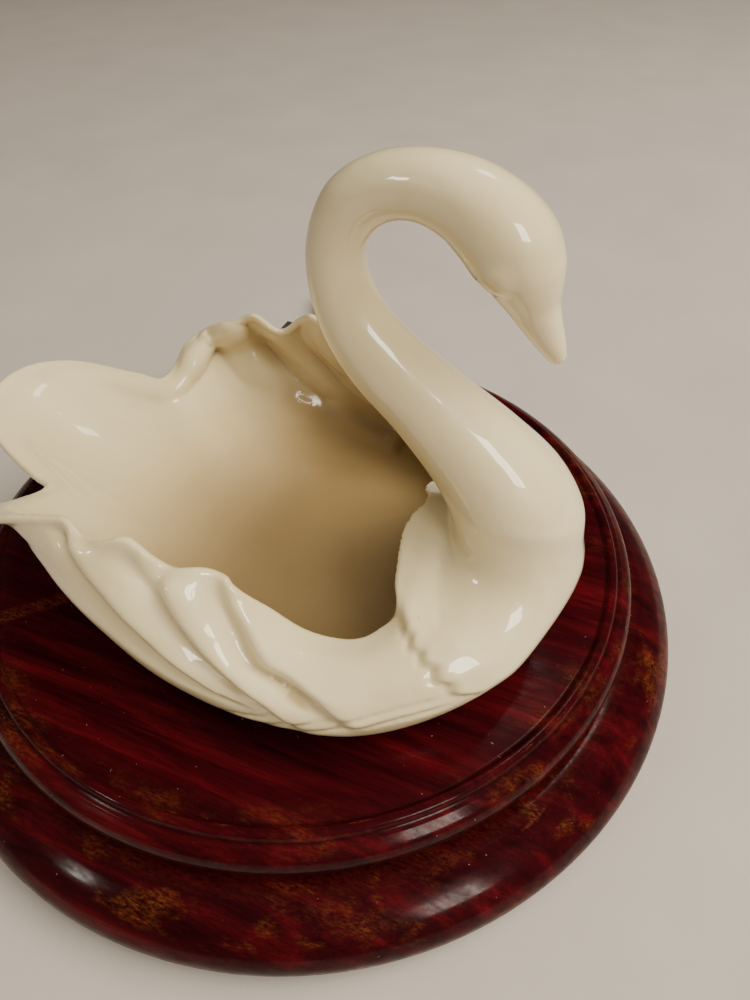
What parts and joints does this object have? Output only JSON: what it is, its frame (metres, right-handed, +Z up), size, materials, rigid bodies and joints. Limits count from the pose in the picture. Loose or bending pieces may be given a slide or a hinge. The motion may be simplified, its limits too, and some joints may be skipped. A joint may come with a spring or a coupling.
{
  "type": "television lamp",
  "caption": "Glazed swan dish standing on a two-step turned wooden base, with a small bulb on a bracket behind its wing that lights the wall behind.",
  "frame": {"origin": "centre of the round base's underside, where it rests on the table", "axes": "+Z up; +X along the swan from tail to breast; -Y is the display front, +Y the back where the lamp and lead are"},
  "size_m": [0.2286, 0.2965, 0.1549],
  "materials": {
    "ivory_glaze": "high gloss cream glaze",
    "mahogany": "glossy red-brown lacquer with rubbed amber edges",
    "felt": "pressed felt",
    "steel": "plain",
    "plated_steel": "dull plated",
    "brass": "lightly tarnished",
    "phenolic": "dark brown moulded",
    "bulb_glass": "clear",
    "filament": "tungsten wire",
    "rubber": "matte",
    "lead_cover": "brown lead cover"
  },
  "bodies": {
    "stand": {"base_felt": "felt", "base_foot_ring": "mahogany", "base_plinth_disc": "mahogany", "joining_screw_1": "steel", "joining_screw_2": "steel", "joining_screw_3": "steel", "swan_pad_1": "felt", "swan_pad_2": "felt", "swan_pad_3": "felt", "lamp_bracket": "plated_steel", "bracket_screw_1": "steel", "bracket_screw_2": "steel", "socket_nipple": "brass", "socket_nut": "brass", "lampholder_body": "phenolic", "lampholder_screw_shell": "brass", "lampholder_contact": "brass", "platform_grommet": "rubber", "rear_bushing": "rubber", "cord_clamp": "plated_steel", "clamp_screw": "steel", "lamp_side_lead": "lead_cover", "plug_side_lead": "lead_cover", "lead_tie": "rubber", "switch_lower_shell": "phenolic", "switch_upper_shell": "phenolic", "switch_spindle": "brass", "switch_screw": "steel", "switch_contact_in": "brass", "switch_contact_out": "brass", "plug_body": "phenolic", "plug_blade_left": "brass", "plug_blade_right": "brass"},
    "swan_dish": {"swan": "ivory_glaze"},
    "bulb": {"bulb_cap": "brass", "bulb_glass": "bulb_glass", "bulb_stem": "bulb_glass", "bulb_filament": "filament"},
    "thumbwheel": {"switch_wheel": "phenolic"}
  },
  "joints": [
    {"name": "swan_lift_off", "type": "slide", "parent": "stand", "child": "swan_dish", "axis": [0, 0, 1], "range_m": [0, 0.15]},
    {"name": "bulb_unscrew", "type": "hinge", "parent": "stand", "child": "bulb", "pos_m": [0, 0.06, 0.0459], "axis": [1, 0, 0], "range_deg": [0, 1080]},
    {"name": "switch_turn", "type": "hinge", "parent": "stand", "child": "thumbwheel", "pos_m": [-0.08534, 0.0976, 0.00715], "axis": [0, 0, 1], "continuous": true}
  ]
}
